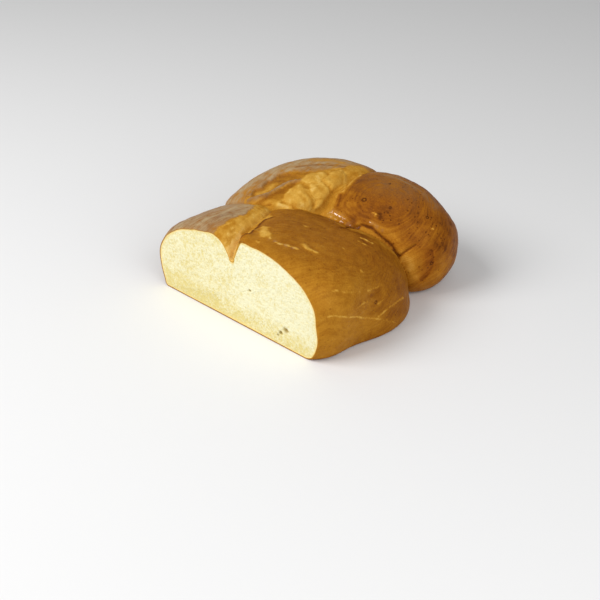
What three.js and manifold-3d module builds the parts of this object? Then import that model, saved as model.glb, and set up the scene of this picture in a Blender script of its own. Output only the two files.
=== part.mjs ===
import * as THREE from 'three';
import { mergeVertices } from 'three/addons/utils/BufferGeometryUtils.js';
import Module from 'manifold-3d';

// A plaited sweet loaf, cut flat across at one end, in millimetres with +Z up.
// It is baked from thick strands of dough that cross, swell and grow together, so the solid is a
// handful of rounded swellings joined into one, then cut off flat at the foot and at the open end.
// While it is shaped, +X runs across the loaf, +Y runs along it from the cut face, and zero is the
// middle of the cut face's foot.

// Each swelling is a rounded body about its own middle.
//   at        its middle
//   turn      degrees about the vertical; 0 lays its long axis across the loaf
//   pitch     degrees that the far end of the long axis is raised
//   roll      degrees about the long axis
//   long      half lengths to the near and far side of the middle, along the long axis
//   wide      half widths to the two sides
//   tall      half heights below and above
//   fullness  2 for an egg, more for a boxier body
//   bow       how far its two ends bend sideways
//   sag       how much wider it is at its lowest point than at its middle, as a share

const FRONT_RIGHT = {
  at: [21, 56, 27], turn: 25, pitch: -12, roll: -7,
  long: [50, 57], wide: [80, 41], tall: [44, 41], fullness: 3.4, bow: -1, sag: 0.02,
};
const FRONT_RIGHT_SIDE = {
  at: [52, 62, 12], turn: 12, pitch: 2, roll: 0,
  long: [40, 41], wide: [40, 40], tall: [45, 44], fullness: 2.3, bow: 0, sag: 0,
};
const FRONT_RIGHT_END = {
  at: [54, 80, 11], turn: 12, pitch: 4, roll: 1,
  long: [40, 40], wide: [40, 37], tall: [50, 41], fullness: 2.1, bow: -2, sag: 0.05,
};
const BACK_RIGHT = {
  at: [12, 130, 26], turn: 43, pitch: 17, roll: -4,
  long: [47, 73], wide: [55, 52], tall: [34, 49], fullness: 2.1, bow: -22, sag: 0.02,
};
const BACK_RIGHT_END = {
  at: [56, 142, 24], turn: 16, pitch: 4, roll: 3,
  long: [42, 36], wide: [38, 35], tall: [29, 35], fullness: 2.3, bow: 2, sag: 0,
};
const BACK_LEFT = {
  at: [-31, 119, 32], turn: 71, pitch: 2, roll: -4,
  long: [89, 68], wide: [53, 45], tall: [54, 46], fullness: 2.4, bow: -18, sag: 0.08,
};
const FRONT_LEFT = {
  at: [-21, 25, 26], turn: 94, pitch: -4, roll: -19,
  long: [40, 59], wide: [29, 68], tall: [53, 47], fullness: 2.9, bow: -2, sag: 0.06,
};
const TAIL = {
  at: [6, 165, 14], turn: 90, pitch: 0, roll: 0,
  long: [20, 27], wide: [30, 30], tall: [18, 25], fullness: 2.3, bow: 0, sag: 0,
};

// The strand at the front right comes over the loaf and ends in a full shoulder low on its side,
// so its three swellings melt into one. So do the two of the strand behind it, which is tucked
// under itself at the right. Two strands lie on the left, and the plait's pinched tail is tucked
// in low at the far end.
const STRANDS = [
  [FRONT_RIGHT, FRONT_RIGHT_SIDE, FRONT_RIGHT_END],
  [BACK_RIGHT, BACK_RIGHT_END],
  [BACK_LEFT],
  [FRONT_LEFT],
  [TAIL],
];

// As the back left strand rose, its glazed skin tore: a long hollow opened along its inner flank,
// and a thin fold of skin stands between the hollow and the stretched dough beside it.
const TORN_HOLLOW = {
  at: [-38, 76, 77], turn: 80, pitch: 12, roll: 0,
  long: [30, 28], wide: [6, 6], tall: [5, 5], fullness: 2, bow: 3, sag: 0,
};
const TORN_FOLD = {
  at: [-31, 76, 72], turn: 69, pitch: 10, roll: 0,
  long: [25, 25], wide: [2.5, 2.5], tall: [6, 4], fullness: 2, bow: 3, sag: 0,
};

const MELTED = 14; // how far the parts of one strand run into each other
const WALK_FROM = 2.5; // rays start this many times farther out than the first part's own skin
const WALK_STEPS = 60;
const AROUND = 64; // facets round a strand
const ALONG = 44; // facets from one end of its long axis to the other
const AROUND_TEAR = 16;
const ALONG_TEAR = 20;
const SPACE = 600; // edge of the block that the loaf is cut from, well over its size

const degrees = THREE.MathUtils.degToRad;
const raised = (value, exponent) => Math.pow(Math.abs(value), exponent);
const side = (value, [near, far]) => (value < 0 ? near : far);

const wasm = await Module();
wasm.setup();

// A three.js geometry as a closed solid that can be joined and cut.
function solid(geometry) {
  geometry.deleteAttribute('normal');
  geometry.deleteAttribute('uv');
  const welded = mergeVertices(geometry, 1e-4);
  return new wasm.Manifold(new wasm.Mesh({
    numProp: 3,
    vertProperties: welded.getAttribute('position').array,
    triVerts: new Uint32Array(welded.index.array),
  }));
}

// Where a swelling stands: rolled about its length, pitched, turned on the table and moved.
function stance({ at, turn, pitch, roll }) {
  const turned = new THREE.Euler(degrees(roll), -degrees(pitch), degrees(turn), 'ZYX');
  return new THREE.Matrix4().makeRotationFromEuler(turned).setPosition(...at);
}

// How far a point stands off one swelling, under zero inside it. The point is taken to the swelling's
// own axes, the spread of its foot and its bow are taken out, and each coordinate is divided by its
// half size: the root of the powers' sum is then 1 on the skin.
function standoff(point, { sizes, inverse }) {
  const { long, wide, tall, fullness, bow, sag } = sizes;
  const own = point.clone().applyMatrix4(inverse);
  const up = own.z / side(own.z, tall);
  const spread = 1 + sag * Math.min(Math.max(-up, 0), 1);
  const along = own.x / spread / side(own.x, long);
  const bent = own.y / spread - bow * along * along;
  const across = bent / side(bent, wide);
  const powers = raised(along, fullness) + raised(across, fullness) + raised(up, fullness);
  return own.length() * (1 - Math.pow(powers, -1 / fullness));
}

// The smaller of two distances, with the corner between them melted over the given width.
function melt(first, second) {
  const share = THREE.MathUtils.clamp(0.5 + (0.5 * (second - first)) / MELTED, 0, 1);
  return second * (1 - share) + first * share - MELTED * share * (1 - share);
}

// One strand: a sphere stretched to its first swelling's half sizes, each of its points then walked
// in along the line to that swelling's middle until it meets the skin of all the strand's swellings.
function strand(swellings, around = AROUND, along = ALONG) {
  const placed = swellings.map((sizes) => ({ sizes, inverse: stance(sizes).invert() }));
  const { at, long, wide, tall } = swellings[0];
  const middle = new THREE.Vector3(...at);
  const body = new THREE.SphereGeometry(WALK_FROM, around, along).rotateZ(Math.PI / 2);
  body.scale(long[1], wide[1], tall[1]).applyMatrix4(stance(swellings[0]));
  const position = body.getAttribute('position');
  const point = new THREE.Vector3();
  const inward = new THREE.Vector3();
  for (let i = 0; i < position.count; i++) {
    point.fromBufferAttribute(position, i);
    inward.subVectors(middle, point).normalize();
    for (let step = 0; step < WALK_STEPS; step++) {
      point.addScaledVector(inward, 0.8 * placed.map((part) => standoff(point, part)).reduce(melt));
    }
    position.setXYZ(i, ...point);
  }
  return solid(body);
}

// The space above the table and behind the cut.
function keptSpace() {
  return solid(new THREE.BoxGeometry(SPACE, SPACE, SPACE).translate(0, SPACE / 2, SPACE / 2));
}

// All the strands as one solid, with the tear cut in and its fold put back, then cut off flat.
function loafGeometry() {
  const dough = STRANDS.map((swellings) => strand(swellings)).reduce((whole, next) => whole.add(next));
  const torn = dough
    .subtract(strand([TORN_HOLLOW], AROUND_TEAR, ALONG_TEAR))
    .add(strand([TORN_FOLD], AROUND_TEAR, ALONG_TEAR));
  const mesh = torn.intersect(keptSpace()).getMesh();
  const geometry = new THREE.BufferGeometry();
  geometry.setAttribute('position', new THREE.BufferAttribute(mesh.vertProperties, mesh.numProp));
  geometry.setIndex(new THREE.BufferAttribute(mesh.triVerts, 1));
  return geometry;
}

const crust = new THREE.MeshStandardMaterial({ color: 0xb5701f, roughness: 0.5, metalness: 0 });

const loaf = new THREE.Mesh(loafGeometry(), crust);
loaf.name = 'loaf';
loaf.geometry.computeVertexNormals();

// The part's own origin is the middle of the box round the loaf, at its foot.
loaf.geometry.computeBoundingBox();
const middle = loaf.geometry.boundingBox.getCenter(new THREE.Vector3());
loaf.geometry.translate(-middle.x, -middle.y, -loaf.geometry.boundingBox.min.z);

const part = new THREE.Group();
part.add(loaf);

export default part;
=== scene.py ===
from math import cos, pi, radians, sin

import bpy
import numpy as np
from mathutils import Euler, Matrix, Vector


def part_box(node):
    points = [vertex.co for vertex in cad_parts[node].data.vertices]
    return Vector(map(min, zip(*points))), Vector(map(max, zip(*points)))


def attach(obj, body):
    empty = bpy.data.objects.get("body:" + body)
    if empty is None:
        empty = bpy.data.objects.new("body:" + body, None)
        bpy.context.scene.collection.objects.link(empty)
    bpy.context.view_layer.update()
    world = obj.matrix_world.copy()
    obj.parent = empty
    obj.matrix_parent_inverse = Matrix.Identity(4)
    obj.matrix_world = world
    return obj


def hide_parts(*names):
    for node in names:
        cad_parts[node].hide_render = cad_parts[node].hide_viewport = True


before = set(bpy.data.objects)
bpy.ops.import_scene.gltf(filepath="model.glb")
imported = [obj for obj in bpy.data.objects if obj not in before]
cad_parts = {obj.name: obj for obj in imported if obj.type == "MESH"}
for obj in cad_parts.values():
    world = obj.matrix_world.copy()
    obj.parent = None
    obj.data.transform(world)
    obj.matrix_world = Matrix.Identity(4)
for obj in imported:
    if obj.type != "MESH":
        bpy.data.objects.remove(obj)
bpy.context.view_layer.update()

# Camera
# The picture looks down on the loaf's cut end from its right-hand side. The middle of the cut face's foot is
# the loaf's own zero: millimetres across it (+X), along the loaf from the cut (+Y) and up (+Z).
MM = 0.001
LEFT_REACH = 90.2  # from that zero to the loaf's farthest point on the left
PICTURE_PIXELS = 600
FOCAL_PIXELS = 1042.5
SENSOR_WIDTH = 36.0
EYE_HEIGHT = radians(32.32)
EYE_SIDE = radians(42.46)
EYE_DISTANCE = 816.9
AIM = (15.6, 55.5, 0.0)

box_low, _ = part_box("loaf")
cut_foot = np.array((box_low.x + LEFT_REACH * MM, box_low.y, box_low.z))


def placed(points):
    """The loaf's own millimetres as metres in the frame: scaled, then moved to the cut face's foot."""
    return np.asarray(points) * MM + cut_foot


toward_eye = Vector((sin(EYE_SIDE) * cos(EYE_HEIGHT), -cos(EYE_SIDE) * cos(EYE_HEIGHT), sin(EYE_HEIGHT)))
lens = bpy.data.cameras.new("camera")
lens.sensor_width = SENSOR_WIDTH
lens.lens = lens.sensor_width * FOCAL_PIXELS / PICTURE_PIXELS
camera = bpy.data.objects.new("camera", lens)
camera.location = Vector(placed(AIM)) + toward_eye * EYE_DISTANCE * MM
camera.rotation_euler = toward_eye.to_track_quat("Z", "Y").to_euler()
bpy.context.scene.collection.objects.link(camera)
bpy.context.scene.camera = camera
bpy.context.scene.view_settings.view_transform = "Standard"

# Floor and light
# The loaf stands on a plain pale floor. One large soft lamp hangs over the front left, and a second fills
# from the right.
FLOOR_SIZE = 6.0
FLOOR_GAP = 0.0002
FLOOR_COLOUR = (0.80, 0.80, 0.80, 1.0)
WORLD_COLOUR = (1.0, 1.0, 1.0, 1.0)
WORLD_STRENGTH = 0.35
LAMPS = {
    "key_lamp": dict(at=(-0.55, -0.95, 1.05), size=0.9, power=17.0),
    "fill_lamp": dict(at=(1.0, -0.35, 0.75), size=0.9, power=7.0),
}


class Value:
    """A shader node's output, with which sums, products and powers can be written like numbers."""

    def __init__(self, socket):
        self.socket = socket

    def node(self, kind, settings=(), sockets=(), output=0):
        """A new node: its settings first, a colour ramp's stops among them, then its sockets or links."""
        made = self.socket.id_data.nodes.new(kind)
        for name, setting in dict(settings).items():
            if name == "stops":
                for stop, (place, colour) in enumerate(setting):
                    if stop >= len(made.color_ramp.elements):
                        made.color_ramp.elements.new(place)
                    made.color_ramp.elements[stop].position = place
                    made.color_ramp.elements[stop].color = colour
            else:
                setattr(made, name, setting)
        for name, value in dict(sockets).items():
            if isinstance(value, Value):
                self.socket.id_data.links.new(value.socket, made.inputs[name])
            else:
                made.inputs[name].default_value = value
        return Value(made.outputs[output])

    def math(self, operation, *values):
        """A Math node on values or numbers."""
        return self.node("ShaderNodeMath", {"operation": operation}, dict(enumerate(values)))

    def __add__(self, other):
        return self.math("ADD", self, other)

    def __sub__(self, other):
        return self.math("SUBTRACT", self, other)

    def __mul__(self, other):
        return self.math("MULTIPLY", self, other)

    def __rsub__(self, other):
        return self.math("SUBTRACT", other, self)

    __radd__ = __add__
    __rmul__ = __mul__

    def step(self, low, high):
        """0 below low, 1 above high, and a smooth rise between; low over high turns it round."""
        sockets = {"Value": self, "From Min": low, "From Max": high}
        return self.node("ShaderNodeMapRange", {"interpolation_type": "SMOOTHSTEP"}, sockets)

    def noise(self, scale, detail=2.0, stretch=(1.0, 1.0, 1.0)):
        """Soft noise of about one blot in 1/scale metres, read at these coordinates."""
        where = self.node("ShaderNodeMapping", {}, {"Vector": self, "Scale": stretch})
        sockets = {"Vector": where, "Scale": scale, "Detail": detail}
        return self.node("ShaderNodeTexNoise", {}, sockets, "Fac")

    def laid_on(self, name, output="Fac"):
        """A value that the mesh carries at its points."""
        return self.node("ShaderNodeAttribute", {"attribute_name": name}, {}, output)

    def bump(self, distance, strength):
        """The normals of a surface that has this height."""
        sockets = {"Height": self, "Distance": distance, "Strength": strength}
        return self.node("ShaderNodeBump", {}, sockets, "Normal")

    def blend(self, first, second):
        """One colour where this value is 0, the other where it is 1, by the Mix node's colour sockets."""
        return self.node("ShaderNodeMix", {"data_type": "RGBA"}, {0: self, 6: first, 7: second}, 2)


def finish(name, **constants):
    """A new material: its shader with the values that are the same all over, and its object coordinates."""
    material = bpy.data.materials.new(name)
    material.use_nodes = True
    shader = material.node_tree.nodes["Principled BSDF"]
    for socket, value in constants.items():
        shader.inputs[socket.replace("_", " ")].default_value = value
    coordinates = material.node_tree.nodes.new("ShaderNodeTexCoord")
    return material, shader, Value(coordinates.outputs["Object"])


def feed(shader, **values):
    """Link what varies over a surface to the shader's sockets."""
    for socket, value in values.items():
        shader.id_data.links.new(value.socket, shader.inputs[socket.replace("_", " ")])


world = bpy.data.worlds.new("studio")
world.use_nodes = True
world.node_tree.nodes["Background"].inputs["Color"].default_value = WORLD_COLOUR
world.node_tree.nodes["Background"].inputs["Strength"].default_value = WORLD_STRENGTH
bpy.context.scene.world = world

for lamp_name, lamp in LAMPS.items():
    light = bpy.data.lights.new(lamp_name, "AREA")
    light.size = lamp["size"]
    light.energy = lamp["power"]
    hung = bpy.data.objects.new(lamp_name, light)
    hung.location = lamp["at"]
    hung.rotation_euler = Vector(lamp["at"]).to_track_quat("Z", "Y").to_euler()
    bpy.context.scene.collection.objects.link(hung)

half = FLOOR_SIZE / 2
floor_mesh = bpy.data.meshes.new("floor")
floor_level = box_low.z - FLOOR_GAP
floor_corners = [(-half, -half), (half, -half), (half, half), (-half, half)]
floor_mesh.from_pydata([(*corner, floor_level) for corner in floor_corners], [], [(0, 1, 2, 3)])
floor = bpy.data.objects.new("floor", floor_mesh)
bpy.context.scene.collection.objects.link(floor)
floor_finish, floor_shader, _ = finish("pale_floor", Roughness=0.8, Specular_IOR_Level=0.2)
floor_shader.inputs["Base Color"].default_value = FLOOR_COLOUR
floor_mesh.materials.append(floor_finish)

# Crust
# The loaf is baked from thick strands of dough that cross, swell and grow together. The crust is the skin
# over all of them, from the foot over the swellings to the rim round the cut. It is brushed with egg before
# baking and tears where the dough swells most.

# Each swelling is a rounded body about its own middle, with the same named sizes as the solid has: degrees of
# turn, pitch and roll, and half sizes in mm towards its near and far end, its two sides, its foot and top.
FRONT_RIGHT = dict(
    at=(21, 56, 27), turn=25, pitch=-12, roll=-7,
    long=(50, 57), wide=(80, 41), tall=(44, 41), fullness=3.4, bow=-1, sag=0.02,
)
FRONT_RIGHT_SIDE = dict(
    at=(52, 62, 12), turn=12, pitch=2, roll=0,
    long=(40, 41), wide=(40, 40), tall=(45, 44), fullness=2.3, bow=0, sag=0,
)
FRONT_RIGHT_END = dict(
    at=(54, 80, 11), turn=12, pitch=4, roll=1,
    long=(40, 40), wide=(40, 37), tall=(50, 41), fullness=2.1, bow=-2, sag=0.05,
)
BACK_RIGHT = dict(
    at=(12, 130, 26), turn=43, pitch=17, roll=-4,
    long=(47, 73), wide=(55, 52), tall=(34, 49), fullness=2.1, bow=-22, sag=0.02,
)
BACK_RIGHT_END = dict(
    at=(56, 142, 24), turn=16, pitch=4, roll=3,
    long=(42, 36), wide=(38, 35), tall=(29, 35), fullness=2.3, bow=2, sag=0,
)
BACK_LEFT = dict(
    at=(-31, 119, 32), turn=71, pitch=2, roll=-4,
    long=(89, 68), wide=(53, 45), tall=(54, 46), fullness=2.4, bow=-18, sag=0.08,
)
FRONT_LEFT = dict(
    at=(-21, 25, 26), turn=94, pitch=-4, roll=-19,
    long=(40, 59), wide=(29, 68), tall=(53, 47), fullness=2.9, bow=-2, sag=0.06,
)
TAIL = dict(
    at=(6, 165, 14), turn=90, pitch=0, roll=0,
    long=(20, 27), wide=(30, 30), tall=(18, 25), fullness=2.3, bow=0, sag=0,
)
MELTED = 14.0
SEAM_ROUND = 0.8
FOOT_ROUND = 4.0
FOOT_SINK = 0.5


def away_from(points, at, turn, pitch, roll, long, wide, tall, fullness, bow, sag):
    """How far points stand off one swelling, in mm, under zero inside it.

    The points are taken to the swelling's own axes, its widening towards the foot and its bow are taken out,
    and each coordinate is divided by its half size. The root of the powers' sum is 1 on the skin; the
    distance is the point's own distance from the middle times one less the inverse of that root.
    """
    axes = np.array(Euler((radians(roll), -radians(pitch), radians(turn))).to_matrix())
    u, v, w = np.moveaxis((points - at) @ axes, -1, 0)
    up = w / np.where(w < 0, *tall)
    spread = 1 + sag * np.clip(-up, 0, 1)
    along = u / spread / np.where(u < 0, *long)
    across = v / spread - bow * along ** 2
    across = across / np.where(across < 0, *wide)
    powers = sum(np.abs(coordinate) ** fullness for coordinate in (along, across, up))
    root = powers ** (1 / fullness)
    return np.sqrt(u * u + v * v + w * w) * (1 - 1 / np.maximum(root, 1e-3))


def nearer(first, second, rounding):
    """The smaller of two distances, with the corner between them rounded over about the given width."""
    share = np.clip(0.5 + 0.5 * (second - first) / rounding, 0, 1)
    return second * (1 - share) + first * share - rounding * share * (1 - share)


def strands(points):
    """Distances to the front right, back right, back left and front left strands, and to the tail."""
    front_right = nearer(away_from(points, **FRONT_RIGHT), away_from(points, **FRONT_RIGHT_SIDE), MELTED)
    return (
        nearer(front_right, away_from(points, **FRONT_RIGHT_END), MELTED),
        nearer(away_from(points, **BACK_RIGHT), away_from(points, **BACK_RIGHT_END), MELTED),
        away_from(points, **BACK_LEFT),
        away_from(points, **FRONT_LEFT),
        away_from(points, **TAIL),
    )


def dough(points):
    """Distance to the whole loaf: the nearest strand, rounded at the seams, and rounded in at the foot."""
    front_right, back_right, back_left, front_left, tail = strands(points)
    right = nearer(front_right, back_right, SEAM_ROUND)
    left = nearer(front_left, back_left, SEAM_ROUND)
    whole = nearer(nearer(right, left, SEAM_ROUND), tail, SEAM_ROUND)
    return -nearer(-whole, points[..., 2] + FOOT_SINK, FOOT_ROUND)


# The skin is a grid of rays from a line along the middle of the foot: rows stand across it from the cut on,
# then fan out round the far end to one point. Columns run from the left foot over the top to the right foot,
# and a few more go back under the loaf, flat on the floor.
HEART_END = 115.0
ROWS_ALONG = 130
ROWS_ROUND = 110
COLUMNS_OVER = 384
COLUMNS_UNDER = 24
FARTHEST = 150.0
RAY_STEPS = 60
STEP_SHARE = 0.8
SLOPE_STEP = 0.05
WAVES = 12
UPPER_FROM = (25, 32)
RIGHT_FROM = (50, 60)


def skin_rays():
    """Each ray's start on the heart line and its direction, leant back by row and turned by column."""
    around = np.linspace(pi, 0, COLUMNS_OVER)
    start = np.concatenate((np.linspace(0, HEART_END, ROWS_ALONG), np.full(ROWS_ROUND, HEART_END)))
    lean = np.concatenate((np.zeros(ROWS_ALONG), np.linspace(0, pi / 2, ROWS_ROUND + 1)[1:]))[:, None]
    origins = np.stack(np.broadcast_arrays(0.0, start[:, None], 0 * around), -1)
    directions = (np.cos(lean) * np.cos(around), np.sin(lean) + 0 * around, np.cos(lean) * np.sin(around))
    return origins, np.stack(directions, -1)


def walked_in(origins, directions, form):
    """Points where rays meet a form: each walks in from outside by a share of what is left, step by step."""
    distance = np.full(origins.shape[:-1], FARTHEST)
    for _ in range(RAY_STEPS):
        distance -= STEP_SHARE * form(origins + distance[..., None] * directions)
    return origins + distance[..., None] * directions


def slope(points, form):
    """The form's outward direction at points: its differences over two small steps, to unit length."""
    steps = SLOPE_STEP * np.eye(3)
    rise = np.stack([form(points + step) - form(points - step) for step in steps], -1)
    return rise / np.linalg.norm(rise, axis=-1, keepdims=True)


def ramp(values, low, high):
    """0 up to low, 1 from high on; between them three times the share's square less twice its cube."""
    share = np.clip((values - low) / (high - low), 0, 1)
    return share * share * (3 - 2 * share)


def lumps(points, length, seed):
    """Soft lumps of one size, about -1 to 1: a sum of sine waves in seeded directions."""
    generator = np.random.default_rng(seed)
    headings = generator.normal(size=(3, WAVES))
    headings *= 2 * pi / length / np.linalg.norm(headings, axis=0)
    return np.sin(points @ headings + generator.uniform(0, 2 * pi, WAVES)).sum(-1) / 4


def distance_to(points, line):
    """How far points are from a line through the given places, in mm."""
    nearest = np.full(points.shape[:-1], np.inf)
    for start, end in zip(line[:-1], line[1:]):
        span = np.subtract(end, start)
        share = np.clip((points - start) @ span / (span @ span), 0, 1)
        nearest = np.minimum(nearest, np.linalg.norm(points - start - share[..., None] * span, axis=-1))
    return nearest


def near_line(points, line, reach):
    """1 on a line through the given places, falling off with the distance as a bell of the given reach."""
    return np.exp(-((distance_to(points, line) / reach) ** 2))


def inside(across, up, corners, soft):
    """1 inside a flat outline and 0 outside it, rising over the soft width.

    A point is inside when a line from it sideways crosses the outline an odd number of times; how far it is
    from the nearest side sets how nearly it counts.
    """
    within = np.zeros(across.shape, bool)
    nearest = np.full(across.shape, np.inf)
    for (x0, y0), (x1, y1) in zip(corners, corners[1:] + corners[:1]):
        over_x, over_y = x1 - x0, y1 - y0
        share = np.clip(((across - x0) * over_x + (up - y0) * over_y) / (over_x ** 2 + over_y ** 2), 0, 1)
        nearest = np.minimum(nearest, np.hypot(across - x0 - share * over_x, up - y0 - share * over_y))
        if over_y:
            within ^= ((y0 > up) != (y1 > up)) & (across < x0 + over_x * (up - y0) / over_y)
    return ramp(np.where(within, nearest, -nearest), -soft / 2, soft / 2)


def from_above(points, corners, soft):
    """1 inside an outline drawn from above, on the upper part of the loaf only."""
    return inside(points[..., 0], points[..., 1], corners, soft) * ramp(points[..., 2], *UPPER_FROM)


def from_the_right(points, corners, soft):
    """1 inside an outline drawn from the right, on the right side only."""
    return inside(points[..., 1], points[..., 2], corners, soft) * ramp(points[..., 0], *RIGHT_FROM)


# Where the glaze tore open as the dough rose, seen from above. On its strands, numbered in their order above,
# an opening sets the tone (0 palest, 1 darkest) and the glaze, and moves the skin by its rise.
OPENINGS = {
    "open_seam": dict(
        corners=[
            (-21, -5), (-19, 9), (-21, 20), (-20, 31), (-23, 42), (-26, 50), (-42, 50), (-44, 63),
            (-45, 97), (-41, 103), (-30, 108), (-25, 113), (-20, 121), (-17, 128), (-11, 136), (-11, 145),
            (-9, 155), (3, 158), (6, 136), (5, 126), (8, 116), (9, 105), (12, 98), (16, 92), (30, 91),
            (35, 84), (24, 83), (10, 80), (1, 75), (-3, 62), (-6, 52), (-10, 45), (-11, 38), (-5, 28),
            (1, 18), (3, 12), (6, 5), (2, -5),
        ],
        soft=1.6, tone=0.38, rise=-0.5, glaze=0.0, strands=(1, 2, 3, 4),
    ),
    "notch_flank": dict(
        corners=[
            (-14, -5), (-14, 9), (-15, 25), (-17, 40), (-19, 55), (-9, 58), (-8, 46), (-11, 38), (-3, 24),
            (3, 12), (8, -5),
        ],
        soft=4.0, tone=0.24, glaze=0.0, strands=(3,),
    ),
    "hollow": dict(
        corners=[
            (-40, 56), (-44, 65), (-45, 85), (-44, 99), (-38, 103), (-27, 102), (-23, 97), (-25, 93),
            (-28, 81), (-31, 70), (-36, 61),
        ],
        soft=1.6, tone=0.62, rise=-1.6, glaze=0.1, strands=(2,),
    ),
    "torn_side": dict(
        corners=[
            (-42, 50), (-33, 54), (-29, 69), (-26, 81), (-24, 93), (-19, 98), (-21, 84), (-17, 74),
            (-22, 62), (-28, 54),
        ],
        soft=1.6, tone=0.66, glaze=0.1, strands=(2,),
    ),
    "torn_patch": dict(
        corners=[
            (-15, 71), (-20, 76), (-21, 84), (-21, 91), (-24, 99), (-24, 109), (-21, 116), (-16, 121),
            (-13, 134), (-7, 133), (0, 126), (5, 118), (5, 101), (4, 90), (3, 84), (0, 73), (-8, 70),
        ],
        soft=2.4, tone=0.24, rise=0.2, glaze=0.0, strands=(2,),
    ),
    "far_flank": dict(
        corners=[
            (24, 83), (35, 83), (44, 83), (52, 87), (59, 92), (68, 94), (74, 100), (74, 107), (66, 105),
            (57, 103), (48, 101), (42, 98), (37, 90), (33, 86),
        ],
        soft=2.0, tone=0.52, glaze=0.5, strands=(0, 1),
    ),
    "lapped_strip": dict(
        corners=[
            (-4, -5), (9, -5), (9, 4), (8.5, 10), (6.5, 15), (3, 21), (0.5, 26), (-3, 33), (-5, 40),
            (-4, 46), (-12, 50), (-16, 45), (-11, 22),
        ],
        soft=1.6, tone=0.36, glaze=0.0, strands=(0,),
    ),
    "blister_patch": dict(
        corners=[(4, 22), (4, 27), (10, 28), (16, 23), (21, 17), (21, 12), (15, 13), (11, 17), (8, 21)],
        soft=3.0, tone=0.27, rise=0.4, glaze=0.2, strands=(0,),
    ),
}
# Where the front right strand laps over its neighbour the groove between them is closed.
LAPPED_SEAM = [(-8, 4), (4, 4), (1, 14), (-6, 30), (-9, 46), (-17, 46), (-13, 25)]
# Softer, wider tones, where the loaf browned more or less, and painted shade on sides turned from the light
# and low by the floor. Each line runs over the skin, and near it the skin takes on the tone by the share.
TINTS = {
    "cut_edge": dict(line=[(36, 0, 72), (58, 0, 66), (80, 0, 50)], reach=12, tone=0.5, share=0.7),
    "cut_side": dict(line=[(86, 4, 50), (91, 8, 38), (90, 6, 22)], reach=20, tone=0.44, share=0.6),
    "cut_near": dict(line=[(80, 3, 51), (84, 4, 43)], reach=5, tone=0.62, share=0.7),
    "cut_light": dict(line=[(90, 18, 46), (88, 30, 52), (88, 43, 50)], reach=9, tone=0.5, share=0.55),
    # Painted shade low on the right side, by the floor.
    "low_edge_shade": dict(line=[(90, 13, 12), (91, 28, 13), (93, 40, 10)], reach=6, tone=0.68, share=0.6),
    "cut_top": dict(line=[(12, 2, 74), (20, 27, 74)], reach=9, tone=0.58, share=0.5),
    "low_front": dict(line=[(86, 0, 20), (92, 30, 18), (92, 60, 12)], reach=22, tone=0.51, share=0.8),
    "front_crest": dict(line=[(25, 60, 68), (45, 70, 64)], reach=20, tone=0.73, share=0.6),
    "front_end": dict(line=[(73, 72, 55), (80, 84, 46), (92, 82, 28)], reach=13, tone=0.82, share=0.7),
    "nose": dict(line=[(13, 97, 66), (22, 97, 65)], reach=11, tone=0.62, share=0.8),
    "crease_side": dict(line=[(49, 103, 59), (58, 106, 55), (67, 108, 50)], reach=7, tone=0.58, share=0.8),
    "end_gold": dict(
        line=[(73, 107, 38), (79, 110, 36), (81, 112, 28), (83, 114, 23)], reach=8.5, tone=0.36, share=1.0,
    ),
    "end_low": dict(line=[(84, 122, 6), (90, 130, 16), (94, 138, 26)], reach=13, tone=0.6, share=0.9),
    "end_foot": dict(line=[(79, 111, 12), (83, 118, 6)], reach=7, tone=0.66, share=0.7),
    "back_edge": dict(line=[(90, 150, 46), (86, 152, 54)], reach=10, tone=0.88, share=0.7),
    # Painted shade along the far edge of the front right strand, by the back strands.
    "far_shade": dict(
        line=[(8, 77, 66), (32, 82, 62), (63, 82, 58), (75, 87, 50)], reach=7, tone=0.84, share=0.5,
    ),
    "shoulder_shade": dict(line=[(84, 67, 48), (87, 72, 43), (92, 76, 35)], reach=8, tone=0.8, share=0.6),
    # Painted shade on the right end of the front right strand, turned from the light.
    "side_end_shade": dict(line=[(93, 56, 31), (97, 70, 20), (97, 80, 12)], reach=9, tone=0.82, share=0.5),
    # Painted shade along the right foot of the front right strand, by the floor.
    "front_foot_shade": dict(line=[(90, 41, 2), (94, 53, 4), (97, 72, 8)], reach=8, tone=0.74, share=0.6),
    "back_crest": dict(line=[(43, 123, 75), (48, 116, 71), (52, 112, 67)], reach=9, tone=0.9, share=0.5),
    "front_left_top": dict(line=[(-34, 38, 71), (-29, 50, 71)], reach=8, tone=0.4, share=0.8),
    "front_left_inner": dict(
        line=[(-34, 0, 68), (-28, 14, 71), (-28, 32, 71)], reach=9, tone=0.92, share=0.8,
    ),
}
# The turned-under end of the back right strand, seen from the right: a browner facet down to a folded edge,
# and the shade of the flap beyond it.
END_FACET = [
    (112, 38), (116, 44), (122, 46), (127, 43), (126, 38), (127, 32), (126, 27), (119, 15), (114, 24),
]
END_FOLD = [(86, 119, 16), (88, 121, 22), (90, 125, 27), (90, 126, 32), (90, 125, 38), (90, 126, 43)]
FLAP_EDGE = [(91, 133, 45), (92, 140, 40), (92, 146, 34), (89, 156, 26)]
END_SHADE = [
    (128, 48), (132, 43), (137, 39), (145, 32), (155, 24), (168, 24), (168, 60), (140, 60), (130, 54),
]
FACET_TONE = 0.63
FACET_SHARE = 0.7
FACET_SOFT = 12.0
FACET_DROP = 0.9
FACET_REACH = 4.0
FOLD_REACH = 7.5
FOLD_RUDDY = 0.8
SHADE_TONE = 0.94
SHADE_SHARE = 0.42
SHADE_SOFT = 1.6
SHADE_REACH = 5.5
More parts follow.
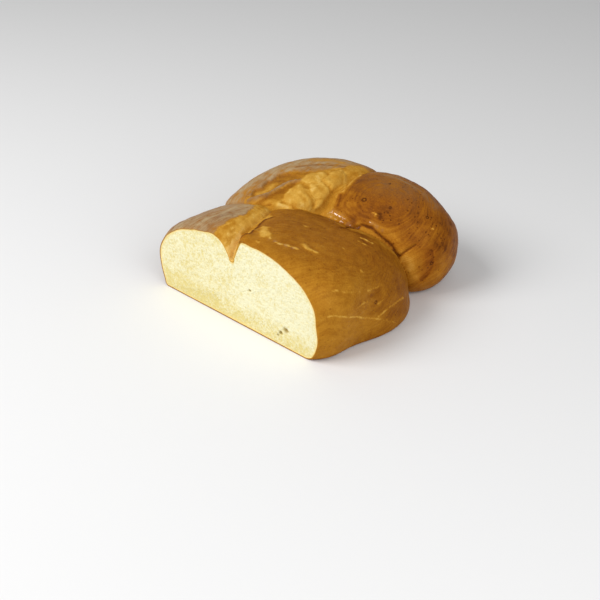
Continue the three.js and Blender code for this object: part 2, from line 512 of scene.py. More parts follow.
# The dough in the tear swelled up in soft pillows, seen from above: their middles and their half widths.
PILLOWS = {
    "near_pillow": dict(at=(-10, 82), turn=10, half=(12.0, 13.5)),
    "middle_pillow": dict(at=(-4, 99), turn=0, half=(8.5, 9.5)),
    "far_pillow": dict(at=(-4, 120), turn=18, half=(8.0, 14.0)),
    "petal": dict(at=(-7, 112), turn=40, half=(3.5, 8.0)),
    "outer_pillow": dict(at=(-17, 108), turn=-8, half=(8.0, 12.0)),
    "corner_pillow": dict(at=(3, 93), turn=0, half=(3.5, 5.5)),
}
PILLOW_RISE = 1.4
CLEFT_WIDTH = 0.12
CLEFT_SHADE_TONE = 0.20
TORN_SOFT = 3.0
FOOT_BROWNING = 0.12
# Narrow marks along lines over the skin. A rise lifts or sinks the skin there, a mark without a tone does
# only that, and a broken one comes and goes along its length.
LINES = {
    # Painted light in the notch by the cut, lifting it out of the shade there.
    "notch_painted_light": dict(line=[(-3, 0, 57), (-4, 6, 61), (-6, 14, 64)], reach=7, tone=0.0, share=1.0),
    "hollow_edge": dict(
        line=[(-44, 65, 70), (-46, 78, 73), (-45, 92, 75), (-39, 101, 77), (-30, 107, 78)], reach=2.6,
        tone=0.78, share=0.65, rise=-0.3,
    ),
    "hollow_light": dict(
        line=[(-40, 67, 72), (-36, 75, 74), (-39, 82, 75)], reach=3.2, tone=0.2, share=0.7, rise=0.2,
    ),
    "fold": dict(
        line=[
            (-39, 56, 68), (-35, 60, 70), (-31, 66, 72), (-30, 78, 74), (-29, 85, 76), (-27, 91, 76),
            (-23, 96, 77),
        ],
        reach=1.7, tone=0.88, share=1.0, rise=2.6,
    ),
    "gold_floor": dict(
        line=[(-25, 61, 70), (-20, 67, 70), (-16, 72, 70)], reach=2.6, tone=0.3, share=0.7, rise=0.2,
    ),
    "pale_strip": dict(
        line=[(-16, 66, 69), (-11, 69, 68), (-5, 69, 68)], reach=2.2, tone=0.06, share=0.9, rise=0.5,
    ),
    "strip_shade": dict(
        line=[(-16, 69, 70), (-9, 73, 67), (-3, 72, 67)], reach=1.0, tone=0.66, share=0.8, rise=-0.6,
    ),
    # A real crease between the back left and front left strands, with painted shade along it.
    "back_crease_shade": dict(
        line=[(-57, 52, 60), (-44, 52, 65), (-29, 54, 70), (-21, 61, 69)], reach=1.0, tone=0.86, share=0.8,
        rise=-0.6,
    ),
    "nose_flank": dict(
        line=[(9, 92, 61), (8, 97, 65), (9, 102, 68), (7, 108, 70)], reach=4.0, tone=0.5, share=0.85,
    ),
    "seam_skin": dict(
        line=[(4, 140, 75), (8, 125, 75), (11, 112, 72), (9, 106, 70)], reach=1.5, tone=0.16, share=0.9,
        rise=1.2,
    ),
    "petal_groove": dict(
        line=[
            (-6, 129, 77), (-2, 125, 75), (2, 119, 73), (2, 111, 71), (3, 105, 70), (3, 101, 68),
            (4, 94, 65),
        ],
        reach=0.9, tone=0.56, share=0.7, rise=-0.3,
    ),
    "petal_edge": dict(
        line=[(-4, 130, 76), (0, 126, 75), (4, 121, 74)], reach=1.0, tone=0.1, share=0.7, rise=0.5,
    ),
    "inner_groove": dict(
        line=[(-6, 108, 74), (-1, 108, 72), (3, 108, 71)], reach=1.1, tone=0.62, share=0.6, rise=-0.5,
    ),
    "light_wedge": dict(
        line=[(-7, 112, 75), (-3, 112, 74), (-1, 111, 73)], reach=1.8, tone=0.08, share=0.7, rise=0.4,
    ),
    "middle_shade": dict(line=[(-4, 102, 73), (0, 100, 70), (2, 97, 68)], reach=3.0, tone=0.44, share=0.6),
    "orange_spot": dict(line=[(-14, 93, 74), (-11, 94, 74)], reach=1.8, tone=0.58, share=0.8, rise=-0.4),
    "pillow_groove": dict(
        line=[(-9, 90, 73), (-6, 89, 71), (-2, 88, 68), (1, 87, 66)], reach=1.6, tone=0.52, share=0.8,
        rise=-0.5,
    ),
    "far_olive": dict(line=[(-6, 125, 76), (-2, 116, 74)], reach=5.0, tone=0.38, share=0.8),
    "upper_band": dict(
        line=[(-27, 108, 78), (-24, 115, 78), (-21, 120, 78)], reach=2.2, tone=0.56, share=0.7,
    ),
    # The lapped edge of the front right strand: a real ridge with browned skin, and painted shade along it.
    "lapped_edge": dict(
        line=[
            (8.5, 5, 70), (8.5, 10, 72), (7, 15, 72), (3, 21, 71.5), (1, 26, 71), (-3, 33, 70),
            (-5, 40, 70), (-3, 45, 71),
        ],
        reach=1.4, tone=1.1, share=0.9, rise=0.4,
    ),
    "lapped_corner": dict(line=[(10, -4, 70), (9.5, 3, 71)], reach=7.0, rise=3.3),
    "lapped_back": dict(line=[(9, 7, 71), (6.5, 16, 72)], reach=4.0, rise=1.5),
    "lapped_point": dict(line=[(10, -4, 70), (8.5, 8, 72)], reach=3.0, rise=0.9),
    "tail_blister": dict(line=[(43, 30, 70), (49, 29, 69)], reach=2.0, tone=0.22, share=0.9, rise=0.5),
    "tail_end": dict(line=[(51, 30, 69), (54, 31, 68)], reach=1.3, tone=0.16, share=0.9, rise=0.3),
    "dark_stripe": dict(
        line=[(92, 36, 39), (91, 45, 39), (91, 58, 38)], reach=2.4, tone=0.88, share=0.5, rise=-0.2,
        broken=True,
    ),
    "low_blotch": dict(line=[(96, 63, 17), (96, 72, 17), (94, 88, 11)], reach=4.0, tone=0.88, share=0.5),
    "far_blotch": dict(line=[(93, 78, 31), (92, 84, 30)], reach=2.6, tone=0.92, share=0.55),
    "far_gold": dict(
        line=[(-39, 131, 77), (-32, 138, 77), (-23, 144, 77), (-9, 146, 76), (-1, 146, 75)], reach=4.0,
        tone=0.4, share=0.8,
    ),
    "crest_streak": dict(
        line=[(-40, 112, 77), (-31, 125, 78), (-20, 135, 78), (-12, 140, 77)], reach=1.8, tone=0.95,
        share=0.6, rise=-0.2, broken=True,
    ),
    # Real creases where the back right strand meets the front right one and at its end, with painted shade in
    # them.
    "side_crease_shade": dict(
        line=[
            (35, 82, 62), (37, 94, 57), (41, 98, 59), (48, 101, 58), (57, 103, 52), (66, 105, 47),
            (72, 106, 39),
        ],
        reach=1.1, tone=1.1, share=1.0, rise=-1.2,
    ),
    "end_crease_shade": dict(
        line=[(72, 106, 39), (74, 109, 43), (77, 113, 46), (79, 116, 48.5)], reach=0.9, tone=1.0, share=0.9,
        rise=-1.2,
    ),
    "end_crease_far_shade": dict(line=[(79, 116, 49), (82, 124, 53)], reach=0.9, tone=0.95, share=0.5, rise=-0.5),
    "nose_lip": dict(
        line=[(13, 94, 63), (21, 93, 62), (29, 94, 60), (38, 97, 59)], reach=2.8, tone=0.42, share=0.85,
        rise=0.9,
    ),
    "nose_dark": dict(line=[(11, 107, 70), (13, 104, 69)], reach=2.0, tone=1.0, share=0.8, rise=-0.2),
    "nose_dark_near": dict(
        line=[(15, 102, 68), (18, 97, 66)], reach=1.7, tone=1.0, share=0.8, rise=-0.2, broken=True,
    ),
    "nose_spot": dict(line=[(31, 96, 61), (35, 96, 60)], reach=2.6, tone=1.0, share=0.9, rise=-0.3),
    # Painted shade in the crease under the nose.
    "nose_under_shade": dict(
        line=[(36, 88, 59.8), (38, 91, 59), (40, 95, 58)], reach=1.4, tone=1.15, share=1.0, rise=-0.4,
    ),
    "nose_shade": dict(line=[(37, 82, 61.5), (46, 84, 61), (54, 86, 59)], reach=3.4, tone=1.0, share=0.5),
    # A painted highlight along the lip above the crease, on a slight real ridge.
    "lip_painted_highlight": dict(
        line=[(46, 103, 61), (51, 105, 59), (56, 107, 57), (63, 109, 54), (69, 110, 50)], reach=1.3,
        tone=0.36, share=0.6, rise=0.4,
    ),
    "wet_blister": dict(line=[(46, 108, 66), (47, 108, 66)], reach=1.6, rise=1.5),
    "blister_shade": dict(
        line=[(48, 110.5, 66), (50, 109.5, 65), (50.5, 107.5, 64)], reach=1.2, tone=1.1, share=0.9,
        rise=-0.2,
    ),
    "stroke_shade": dict(line=[(56, 78, 61), (64, 79, 58)], reach=1.1, tone=0.98, share=0.7, rise=-0.2),
    "flank_orange": dict(
        line=[(-17, 2, 70), (-18, 16, 72), (-13, 13, 70), (-9, 4, 64)], reach=4.0, tone=0.54, share=0.5,
        broken=True,
    ),
    "flank_olive": dict(line=[(-7, 19, 65), (-8, 26, 65)], reach=2.6, tone=0.62, share=0.6),
    "left_streak": dict(
        line=[(-70, 2, 53), (-74, 13, 53), (-72, 25, 56), (-69, 34, 56)], reach=1.6, tone=1.0, share=0.8,
        rise=-0.2, broken=True,
    ),
    "fold_shade": dict(
        line=[(-29, 65, 71), (-25, 74, 73), (-24, 82, 75), (-22, 89, 76)], reach=2.4, tone=0.82, share=0.6,
        rise=-0.3,
    ),
    "far_hollow": dict(
        line=[(-38, 98, 77), (-31, 102, 78), (-26, 108, 78)], reach=4.5, tone=0.7, share=0.7,
    ),
    "end_spot": dict(line=[(91, 136, 45), (92, 137, 42), (92, 138, 40)], reach=1.7, tone=1.0, share=0.8),
}
# Pale flakes and stretch marks, where the glaze cracked or blistered, and one painted highlight; the share
# sets how full they are.
FLAKES = {
    "patch_light": dict(line=[(8, 25, 73), (13, 21, 74), (18, 16, 74)], reach=2.0, share=0.6),
    "patch_left": dict(line=[(5, 19, 72), (9, 18, 73)], reach=1.8, share=0.9),
    "patch_small": dict(line=[(22, 16, 74), (24, 15, 74)], reach=1.6, share=1.0),
    "patch_low": dict(line=[(19, 6, 74), (21, 6, 74)], reach=1.6, share=0.8),
    "blister_chain": dict(
        line=[(30, 15, 74), (33, 16, 73), (36, 19, 73), (39, 20, 72), (44, 22, 71)], reach=1.7, share=1.1,
    ),
    "tail_light": dict(line=[(44, 29, 70), (48, 28, 70)], reach=1.6, share=1.0),
    "tail_tip": dict(line=[(51, 30, 69), (54, 31, 68)], reach=1.2, share=1.0),
    "top_fleck": dict(line=[(22, 53, 70), (25, 54, 69)], reach=1.3, share=1.1),
    "far_fleck": dict(line=[(43, 53, 67), (45, 53, 67)], reach=1.4, share=0.7),
    "mid_fleck": dict(line=[(50, 41, 67), (52, 41, 67)], reach=1.4, share=0.7),
    "side_fleck": dict(line=[(59, 54, 64), (61, 54, 64)], reach=1.2, share=0.8),
    "low_fleck": dict(line=[(81, 49, 55), (83, 50, 54)], reach=2.0, share=0.9),
    # A painted highlight on the wet blister.
    "blister_painted_highlight": dict(line=[(44, 107, 67), (46, 107, 66)], reach=1.5, share=1.5),
    "end_fleck": dict(line=[(82, 131, 58), (83, 132, 57)], reach=1.0, share=0.9),
    "crease_mark": dict(line=[(55, 80, 60), (63, 83, 57)], reach=1.2, share=1.2),
    "crease_mark_low": dict(line=[(58, 74, 61), (64, 76, 59)], reach=1.2, share=0.9),
    "crease_mark_far": dict(line=[(47, 89, 60), (54, 91, 58)], reach=0.9, share=0.6),
    "stretch_low": dict(
        line=[
            (87, 5, 40), (90, 10, 40), (92, 17, 37), (93, 23, 34), (93, 31, 30), (92, 39, 25), (93, 47, 21),
            (95, 54, 18),
        ],
        reach=1.1, share=0.95,
    ),
    "stretch_low_end": dict(line=[(95, 54, 18), (97, 73, 7)], reach=1.3, share=0.7),
    "stretch_high": dict(
        line=[(84, 15, 56), (88, 22, 54), (90, 30, 50), (90, 37, 47)], reach=1.6, share=0.8,
    ),
    "stretch_high_end": dict(line=[(90, 46, 44), (89, 52, 42), (89, 59, 41)], reach=1.3, share=0.75),
    "stretch_far": dict(
        line=[(95, 55, 20), (95, 62, 22), (95, 70, 23), (95, 79, 23), (94, 85, 22)], reach=1.5, share=0.85,
    ),
    "stretch_mid": dict(line=[(93, 30, 38), (92, 38, 38), (92, 43, 37)], reach=1.4, share=0.7),
    "stretch_mid_end": dict(line=[(93, 55, 30), (93, 62, 31)], reach=1.4, share=0.7),
}
# Painted sheen on the crests of the two left strands, and a trace of it on the back right one.
PAINTED_SHEENS = {
    "back_left_sheen": dict(
        strand=2, line=[(-58, 55, 62), (-55, 93, 73), (-47, 110, 76), (-35, 130, 78), (-19, 144, 77)],
        reach=20, share=0.92,
    ),
    "front_left_sheen": dict(
        strand=3, line=[(-62, -5, 56), (-50, 15, 65), (-36, 38, 70), (-27, 48, 71)], reach=50, share=0.9,
    ),
    "back_right_sheen": dict(
        strand=1,
        line=[(10, 152, 76), (22, 151, 77), (38, 150, 77), (51, 150, 76), (62, 151, 72), (72, 149, 68)],
        reach=5, share=0.3,
    ),
    "back_right_top_sheen": dict(strand=1, line=[(30, 135, 78), (50, 138, 77)], reach=16, share=0.12),
}
# How much painted sheen is broken along the marks that cross it, and the painted sheen on the fold's top.
SHEEN_BREAK_SHARE = 0.7
FOLD_SHEEN = 0.8
FOLD_SHEEN_REACH = 1.9
# Where the egg wash pooled and dried wet and bright.
WET = {
    "nose_ridge": dict(line=[(14, 93, 63), (21, 93, 62), (29, 93, 60), (36, 95, 59)], reach=2.5),
    "lip": dict(line=[(46, 102, 61), (51, 104, 59), (55, 105, 57)], reach=1.4),
    "chain": dict(line=[(25, 14, 74), (36, 18, 73), (44, 22, 71)], reach=1.6),
}
# Where two strands meet there is a real groove with a line of painted shade in it, and within the soft width
# the looks of one give way to those of the other.
SEAM_WIDTH = 2.2
SEAM_DEPTH = 1.2
SEAM_SHADE_WIDTH = 0.6
STRAND_SOFT = 0.4
LAPPED_SOFT = 3.0


def pillow_domes(points):
    """The second highest and the highest of the pillows at each point: 1 at a middle and 0 at an outline."""
    domes = []
    for pillow in PILLOWS.values():
        off = points[..., :2] - pillow["at"]
        turn = radians(pillow["turn"])
        across = off @ (cos(turn), sin(turn)) / pillow["half"][0]
        along = off @ (-sin(turn), cos(turn)) / pillow["half"][1]
        domes.append(np.maximum(1 - across ** 2 - along ** 2, 0))
    return np.sort(domes, axis=0)[-2:]


def swells(points, sizes):
    """Soft lumps of several sizes added up, each with its height, its length in mm and its seed."""
    return sum(height * lumps(points, length, seed) for height, length, seed in sizes)


skin = walked_in(*skin_rays(), dough)
back_under = np.linspace(0, 1, COLUMNS_UNDER + 2)[1:-1, None]
under = skin[:, -1:] + (skin[:, :1] - skin[:, -1:]) * back_under
skin = np.concatenate((skin, under), 1)
outward = slope(skin, dough)
height_up = skin[..., 2]
above_foot = ramp(height_up, 0.5, 7.0)

away = np.stack(strands(skin), -1)
strand = away.argmin(-1)
nearest_two = np.partition(away, 1, -1)
apart = nearest_two[..., 1] - nearest_two[..., 0]
shares = np.exp((nearest_two[..., :1] - away) / STRAND_SOFT)
shares /= shares.sum(-1, keepdims=True)
unlapped = 1 - from_above(skin, LAPPED_SEAM, LAPPED_SOFT)
seam = unlapped * np.exp(-((apart / SEAM_WIDTH) ** 2)) * ramp(height_up, 4, 12)

# For the front right, back right, back left and front left strands and the tail: the tone of the glazed skin,
# how strongly its grain shows, and how ruddy it is.
GLAZED_TONE = np.array((0.69, 0.81, 0.66, 0.78, 0.74))
FLOW = np.array((1.3, 2.1, 1.5, 0.9, 0.9))
RUDDY = np.array((0.1, 0.5, 0.1, 0.0, 0.3))
# Lumps in the skin, in its tone and in the tone of the bare dough: height, length and seed.
SKIN_LUMPS = ((0.6, 52, 1), (0.28, 19, 2), (0.1, 7, 3))
TONE_LUMPS = ((0.04, 33, 4), (0.02, 11, 5))
BARE_LUMPS = ((0.07, 8, 13), (0.04, 3.2, 16))
# Outlines and lines are drawn unevenly: places are moved by these lumps, across the loaf and along it, before
# they are held against an outline, and by a share of that before they are held against a line.
RAGGED_ACROSS = ((1.1, 9, 6), (0.4, 3, 8))
RAGGED_ALONG = ((1.1, 9, 7), (0.4, 3, 9))
LINE_RAGGED = 0.3
PILLOW_RAGGED = 0.6

rise = swells(skin, SKIN_LUMPS) - SEAM_DEPTH * seam
tone = shares @ GLAZED_TONE + swells(skin, TONE_LUMPS)
glaze = np.ones(tone.shape)
for tint in TINTS.values():
    tone += tint["share"] * near_line(skin, tint["line"], tint["reach"]) * (tint["tone"] - tone)
moved = np.stack((swells(skin, RAGGED_ACROSS), swells(skin, RAGGED_ALONG), 0 * tone), -1)
ragged = skin + moved
wavering = skin + LINE_RAGGED * moved

facet = from_the_right(wavering, END_FACET, FACET_SOFT)
folded = near_line(skin, END_FOLD, FOLD_REACH)
flap_shade = from_the_right(wavering, END_SHADE, SHADE_SOFT) * near_line(skin, FLAP_EDGE, SHADE_REACH)
tone += FACET_SHARE * ramp(facet, 0.5, 0.9) * (FACET_TONE - tone)
tone += SHADE_SHARE * flap_shade * (SHADE_TONE - tone)
rise -= FACET_DROP * ramp(facet, 0.45, 0.55) * near_line(skin, END_FOLD, FACET_REACH)

for opening in OPENINGS.values():
    torn_here = from_above(ragged, opening["corners"], opening["soft"])
    torn_here = torn_here * shares[..., opening["strands"]].sum(-1)
    tone += torn_here * (opening["tone"] - tone)
    glaze += torn_here * (opening["glaze"] - glaze)
    rise += torn_here * opening.get("rise", 0.0)

# The pillows stand up from the torn patch, with painted shade in the cleft where two of them meet, and all
# bare dough is finely rough.
torn = from_above(ragged, OPENINGS["torn_patch"]["corners"], TORN_SOFT)
lower, upper = pillow_domes(skin + PILLOW_RAGGED * moved)
cleft_shade = np.exp(-(((upper - lower) / CLEFT_WIDTH) ** 2))
rise += torn * (PILLOW_RISE * np.sqrt(upper) + 0.2 * lumps(skin, 9, 11))
tone += torn * (CLEFT_SHADE_TONE * cleft_shade + 0.04 * lumps(skin, 6, 12))
tone += (1 - glaze) * swells(skin, BARE_LUMPS)
rise += (1 - glaze) * 0.12 * lumps(skin, 4, 17)
# Painted shade along every seam that is not lapped, more of it on glazed skin.
tone += (0.10 + 0.25 * glaze) * unlapped * np.exp(-((apart / SEAM_SHADE_WIDTH) ** 2))
for line in LINES.values():
    drawn = near_line(wavering, line["line"], line["reach"])
    if line.get("broken"):
        drawn *= ramp(lumps(skin, 4.5, 14), -0.5, 0.3)
    if "tone" in line:
        tone += drawn * line["share"] * (line["tone"] - tone)
    rise += drawn * line.get("rise", 0.0)
tone += FOOT_BROWNING * ramp(height_up, 4, 0)

# The flakes come and go along their lines and the wet places are blotchy. The glaze is less ruddy on top, and
# the painted sheen is broken along the marks that cross it.
flake = np.zeros(tone.shape)
for crack in FLAKES.values():
    flake = np.maximum(flake, crack["share"] * near_line(wavering, crack["line"], crack["reach"]))
flake = np.clip(flake * (0.80 + 0.25 * lumps(skin, 5, 18)), 0, 1)
wet = np.zeros(tone.shape)
for pool in WET.values():
    wet = np.maximum(wet, near_line(skin, pool["line"], pool["reach"]))
wet *= ramp(lumps(skin, 4, 15), -0.4, 0.5)
ruddy = shares @ RUDDY * glaze * (1 - 0.8 * ramp(height_up, 70, 80)) + FOLD_RUDDY * facet * folded
painted_sheen = np.zeros(tone.shape)
for sheen_band in PAINTED_SHEENS.values():
    sheen_here = shares[..., sheen_band["strand"]] * glaze * near_line(skin, sheen_band["line"], sheen_band["reach"])
    painted_sheen = np.maximum(painted_sheen, sheen_band["share"] * sheen_here)
for crossing_mark in ("far_gold", "left_streak", "crest_streak"):
    painted_sheen *= 1 - SHEEN_BREAK_SHARE * near_line(skin, LINES[crossing_mark]["line"], LINES[crossing_mark]["reach"])
painted_sheen = np.maximum(painted_sheen, FOLD_SHEEN * near_line(skin, LINES["fold"]["line"], FOLD_SHEEN_REACH))

relieved = skin + (rise * above_foot)[..., None] * outward
relieved[0, :, 1] = 0.0

# The grain of the crust rings the crest of its strand: the shader reads its noise at a place that moves fast
# across the rings and slowly along them, and every strand is set apart from the others. The grain fades on
# the crest, on bare dough and at the seams.
CRESTS = (
    [(18, -5, 72), (62, 58, 60)],
    [(40, 122, 76), (50, 123, 73)],
    [(-115, 50, -20), (-80, 180, -20)],
    [(-105, -10, 50), (-75, 60, 60)],
    [(6, 165, 38), (6, 190, 20)],
)
ALONG_RINGS = 0.2
ACROSS_RINGS = (0.6, 0.5, 0.6)
STRANDS_APART = 100
from_crest = np.stack([distance_to(skin, crest) for crest in CRESTS])
from_crest = np.take_along_axis(from_crest, strand[None], 0)[0] + 1.2 * lumps(skin, 22, 19)
flow = shares @ FLOW * (0.3 + 0.7 * glaze) * (0.4 + 0.6 * ramp(from_crest, 4, 24)) * ramp(apart, 0.5, 2.5)
ring = from_crest + STRANDS_APART * strand
grain = (ALONG_RINGS * skin + ring[..., None] * ACROSS_RINGS) * MM

# At the cut the crust stands round the crumb as a thin rim, in mm, with a shallow seat behind it.
RIM = 0.9
ON_RIM = dict(tone=0.45, flow=1.0)
SEAT = 3.0
SHARP_ANGLE = radians(60)
CUT_MIDDLE = np.array((0.0, 0.0, 24.0))


def inset(outline, depth):
    """The cut's outline moved inwards, at right angles to the line between each point's neighbours."""
    along = np.roll(outline, -2, 0) - np.roll(outline, 2, 0)
    inward = np.cross(along, (0.0, 1.0, 0.0))
    return outline - depth * inward / np.linalg.norm(inward, axis=-1, keepdims=True)


def closed_piece(name, first, rings, last, material, **values):
    """A smooth closed object from rings of points, a point before the first ring and one after the last.

    Neighbouring rings are joined with quads and the end points with fans of triangles, all facing outwards.
    Values hold one number or three for each point of the rings; the ends take their ring's mean.
    """
    rows, columns = rings.shape[:2]
    row, column = np.meshgrid(np.arange(rows - 1) * columns, np.arange(columns), indexing="ij")
    after = (column + 1) % columns
    quads = np.stack((row + column, row + after, row + columns + after, row + columns + column), -1)
    column, after, end = column[0], after[0], rows * columns
    fans = [np.stack((column * 0 + end, after, column), -1)]
    fans.append(np.stack((end - columns + column, end - columns + after, column * 0 + end + 1), -1))
    points = np.concatenate((rings.reshape(-1, 3), [first, last]))
    mesh = bpy.data.meshes.new(name)
    mesh.from_pydata(placed(points), [], quads.reshape(-1, 4).tolist() + np.concatenate(fans).tolist())
    for attribute, value in values.items():
        ends = [value[end_ring].reshape(columns, -1).mean(0) for end_ring in (0, -1)]
        flat = np.concatenate((value.reshape(end, -1), ends))
        kind, field = ("FLOAT_VECTOR", "vector") if flat.shape[1] == 3 else ("FLOAT", "value")
        mesh.attributes.new(attribute, kind, "POINT").data.foreach_set(field, flat.ravel())
    mesh.polygons.foreach_set("use_smooth", np.ones(len(mesh.polygons), bool))
    mesh.set_sharp_from_angle(angle=SHARP_ANGLE)
    mesh.materials.append(material)
    piece = bpy.data.objects.new(name, mesh)
    bpy.context.scene.collection.objects.link(piece)
    return piece


def with_rim(values, rim_value):
    """Values of the skin's rings, with two rings of one value before them for the seat and the rim."""
    return np.concatenate((np.full((2, values.shape[1]), rim_value), values[:-1]))


rim = inset(relieved[0], RIM)
seat = rim + (0.0, SEAT, 0.0)
crust_rings = np.concatenate((seat[None], rim[None], relieved[:-1]))
far_end = relieved[-1].mean(0)

# Tones of the crust from palest to darkest, as light reflected in red, green and blue.
TONES = (
    (0.00, (0.80, 0.53, 0.16, 1.0)),
    (0.20, (0.63, 0.345, 0.055, 1.0)),
    (0.45, (0.46, 0.205, 0.018, 1.0)),
    (0.70, (0.315, 0.118, 0.008, 1.0)),
    (0.85, (0.225, 0.074, 0.006, 1.0)),
    (1.00, (0.12, 0.036, 0.004, 1.0)),
)
# The colour of the painted sheen, a grey reflection painted into the crust's colour.
SHEEN_COLOUR = (0.435, 0.31, 0.165, 1.0)
FLAKE_TONE = 0.16
BUMP_STRENGTH = 0.9
RUDDY_SHARE = (1.03, 0.88, 0.90)
# Small blisters in the glaze: where each stands and its radius.
BLISTERS = {
    "ring_blister": ((31, 112, 72), 2.1), "small_blister": ((52, 118, 70), 1.2),
    "back_blister": ((36, 137, 78), 1.0), "side_blister": ((92, 53, 32), 1.6),
    "end_blister": ((85, 126, 44), 1.5), "low_blister": ((89, 125, 32), 1.5),
    "near_blister": ((76, 134, 64), 1.2),
}

on_skin = dict(
    tone=tone, glaze=glaze, painted_sheen=painted_sheen, flake=flake, wet=wet, flow=flow, ruddy=ruddy, facet=facet,
    folded=folded,
)
crust_finish, crust_shader, crust_place = finish(
    "glazed_crust", Specular_IOR_Level=0.03, Coat_Roughness=0.10, Coat_IOR=1.9,
)
laid = {name: crust_place.laid_on(name) for name in on_skin}
grain_place = crust_place.laid_on("grain", "Vector")

# Fine and broad streaks along the grain, mottling, the leathery wrinkles of the glaze, and dark specks that
# come in patches.
streaks = grain_place.noise(700.0, 4.0) - 0.5
broad_streaks = grain_place.noise(140.0, 3.0) - 0.5
mottle = crust_place.noise(170.0, 5.0) - 0.5
leather = crust_place.noise(900.0, 3.0) - 0.5
speck_cells = {"Vector": crust_place, "Scale": 290.0}
speck = crust_place.node("ShaderNodeTexVoronoi", {}, speck_cells, "Distance").step(0.26, 0.12)
speck = speck * crust_place.noise(70.0, 2.0).step(0.43, 0.56)
flakes = (laid["flake"] + 1.6 * (crust_place.noise(750.0, 4.0) - 0.5)).step(0.20, 0.80) * laid["flake"]
height = laid["flow"] * (0.14 * streaks + 0.16 * broad_streaks) + 0.18 * leather - 0.16 * speck
height = height + 0.25 * flakes
shade = laid["tone"] + laid["flow"] * (0.24 * streaks + 0.10 * broad_streaks) + 0.30 * mottle + 0.30 * leather
shade = shade + (0.08 * laid["glaze"] + 0.30 * laid["ruddy"]) * speck
shade = shade + 0.17 * laid["facet"].step(0.46, 0.54) * laid["folded"]
shade = shade + flakes * (FLAKE_TONE - shade)
for place, radius in BLISTERS.values():
    between = {0: crust_place, 1: placed(place)}
    off = crust_place.node("ShaderNodeVectorMath", {"operation": "DISTANCE"}, between, "Value")
    off = off * (1 / MM / radius) + 1.2 * leather
    blister_rim = off.step(0.2, 0.7) * off.step(1.3, 0.8)
    height = height + 0.9 * off.step(1.2, 0.0) - 0.3 * blister_rim
    shade = shade + 0.26 * blister_rim - 0.08 * off.step(0.5, 0.1)
tones = shade.node("ShaderNodeValToRGB", {"stops": TONES}, {"Fac": shade}, "Color")
both = {0: tones, 1: RUDDY_SHARE}
ruddy_tones = tones.node("ShaderNodeVectorMath", {"operation": "MULTIPLY"}, both, "Vector")
# The painted sheen lies over the crust's colour, made uneven by its mottle, streaks and specks.
sheen_veil = 0.68 + 1.9 * mottle + laid["flow"] * (1.5 * streaks + 1.1 * broad_streaks) - 0.4 * speck
sheen_veil = laid["painted_sheen"] * sheen_veil
colour = sheen_veil.blend(laid["ruddy"].blend(tones, ruddy_tones), SHEEN_COLOUR)
roughness = 0.62 - 0.24 * laid["glaze"] + 0.16 * mottle
feed(
    crust_shader, Base_Color=colour, Roughness=roughness, Coat_Weight=laid["wet"],
    Normal=height.bump(MM, BUMP_STRENGTH),
)

crust = closed_piece(
    "crust", CUT_MIDDLE + (0.0, SEAT, 0.0), crust_rings, far_end, crust_finish,
    grain=np.concatenate((grain[:1], grain[:1], grain[:-1])),
    **{name: with_rim(values, ON_RIM.get(name, 0.0)) for name, values in on_skin.items()},
)
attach(crust, "root")
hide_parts("loaf")

# Crumb
# The pale yellow crumb inside the loaf shows only where it was cut across. It is fine and eggy, cut flat,
# with small pores, a few larger holes, and a slightly deeper yellow just under the crust.
CRUMB_COLUMNS = 800
CRUMB_RINGS = 100
CRUMB_GAP = 0.02
CRUMB_SLACK = 0.15
HOLES = {
    "arched_hole": dict(at=(52, 15), radius=2.5),
    "small_hole": dict(at=(47, 11), radius=1.6),
    "low_hole": dict(at=(44, 8), radius=1.0),
    "slit": dict(at=(16, 34), radius=1.1),
}
PORE_SQUARES = 61
FINE_PORES = 2.1
WIDE_PORES = 3.9
PORES_MOVED = 0.7
PORE_DEPTH = 0.35
HOLE_DEPTH = 2.0
CUT_WAVE = 0.12
CRUMB_EDGE_IN = 0.05


def evenly(outline, count):
    """A closed outline of points laid out again at even steps along its own length."""
    looped = np.concatenate((outline, outline[:1]))
    length = np.concatenate(([0], np.cumsum(np.linalg.norm(np.diff(looped, axis=0), axis=-1))))
    places = np.linspace(0, length[-1], count, endpoint=False)
    return np.stack([np.interp(places, length, looped[:, axis]) for axis in range(3)], -1)


def pores(x, z, spacing, seed):
    """Rounded pits about one in each square of the given spacing, 0 to 1 deep.

    Every square holds one pit at a seeded place and of a seeded size; a point is as deep as one less the
    square of its distance over that pit's radius, taken over the nine squares round it.
    """
    generator = np.random.default_rng(seed)
    table = generator.uniform(size=(3, PORE_SQUARES, PORE_SQUARES))
    column, row = np.floor(x / spacing), np.floor(z / spacing)
    deepest = np.zeros(x.shape)
    for across in (-1, 0, 1):
        for up in (-1, 0, 1):
            i, j = column + across, row + up
            at_x, at_z, size = table[:, i.astype(int) % PORE_SQUARES, j.astype(int) % PORE_SQUARES]
            radius = spacing * (0.22 + 0.40 * size ** 2)
            off = np.hypot(x - (i + at_x) * spacing, 0.8 * (z - (j + at_z) * spacing)) / radius
            deepest = np.maximum(deepest, (1 - off ** 2) * (0.4 + 0.6 * size))
    return deepest


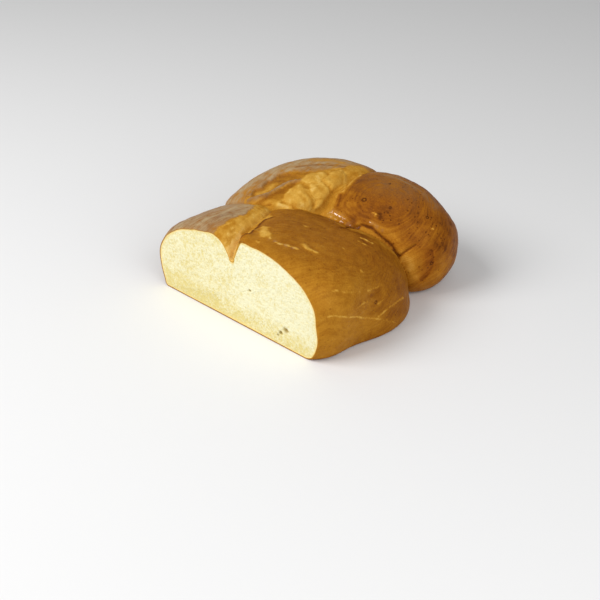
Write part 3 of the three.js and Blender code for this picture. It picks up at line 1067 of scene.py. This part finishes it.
crumb_outline = evenly(rim, CRUMB_COLUMNS)
from_middle = np.linalg.norm(crumb_outline - CUT_MIDDLE, axis=-1, keepdims=True)
outwards = (crumb_outline - CUT_MIDDLE) / from_middle
part_way = np.linspace(0, 1, CRUMB_RINGS + 1)[1:, None, None]
face = CUT_MIDDLE + (crumb_outline - CRUMB_GAP * outwards - CUT_MIDDLE) * part_way
under_crust = from_middle[:, 0] * (1 - part_way[..., 0])
x, z = face[..., 0], face[..., 2]
pit = np.maximum(pores(x, z, FINE_PORES, 21), pores(x + PORES_MOVED, z, WIDE_PORES, 22))
pit *= ramp(under_crust, 0.2, 1.5)
hollow = np.zeros(x.shape)
for hole in HOLES.values():
    off = np.hypot(x - hole["at"][0], z - hole["at"][1]) / hole["radius"] + 0.25 * lumps(face, 3, 23)
    hollow = np.maximum(hollow, ramp(off, 1.2, 0.5))
face[..., 1] += CUT_WAVE * (1 + lumps(face, 38, 24)) + PORE_DEPTH * pit + HOLE_DEPTH * hollow
face[-1, :, 1] = CRUMB_EDGE_IN
back = face[-1] + (0.0, SEAT - CRUMB_SLACK, 0.0)

CRUMB_COLOUR = (0.86, 0.825, 0.57, 1.0)
# The deeper yellow, used for random tone and for painted shade.
CRUMB_DEEP_AND_SHADE = (0.74, 0.62, 0.24, 1.0)
CRUMB_EDGE = (0.86, 0.66, 0.24, 1.0)
# Painted shade in the larger holes, too shallow to shade themselves.
CRUMB_HOLE_SHADE = (0.34, 0.22, 0.06, 1.0)

crumb_finish, crumb_shader, crumb_place = finish("eggy_crumb", Roughness=0.85, Specular_IOR_Level=0.15)
cloud = crumb_place.noise(110.0, 3.0)
fine = crumb_place.noise(700.0, 4.0)
# Deeper colour: painted shade in the pores, painted shade low down and to the left, and random cloudy tone.
deep_and_shaded = (0.45 * crumb_place.laid_on("depth") + 1.7 * (fine - 0.5) + 0.8 * (cloud - 0.5)).step(-0.1, 1.0)
crumb_colour = deep_and_shaded.blend(CRUMB_COLOUR, CRUMB_DEEP_AND_SHADE)
crumb_colour = crumb_place.laid_on("edge").blend(crumb_colour, CRUMB_EDGE)
# Painted shade in the holes.
crumb_colour = crumb_place.laid_on("hole").blend(crumb_colour, CRUMB_HOLE_SHADE)
crumb_height = fine + 0.5 * crumb_place.noise(1500.0, 2.0)
feed(crumb_shader, Base_Color=crumb_colour, Normal=crumb_height.bump(0.5 * MM, 0.8))

# Painted shade makes the crumb darker and yellower low down and towards the left. The ring behind the face
# has no pits and no holes.
behind = np.zeros((1, CRUMB_COLUMNS))
shade_low_left = ramp(z, 24, 3) + 0.5 * ramp(x, 50, -50)
crumb = closed_piece(
    "crumb", face[0].mean(0), np.concatenate((face, back[None])), back.mean(0), crumb_finish,
    depth=np.concatenate((np.maximum(pit, 1.6 * hollow) + shade_low_left, behind)),
    edge=np.concatenate((ramp(under_crust, 2.2, 0.0), behind + 1)),
    hole=np.concatenate((0.8 * hollow, behind)),
)
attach(crumb, "root")
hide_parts("loaf")
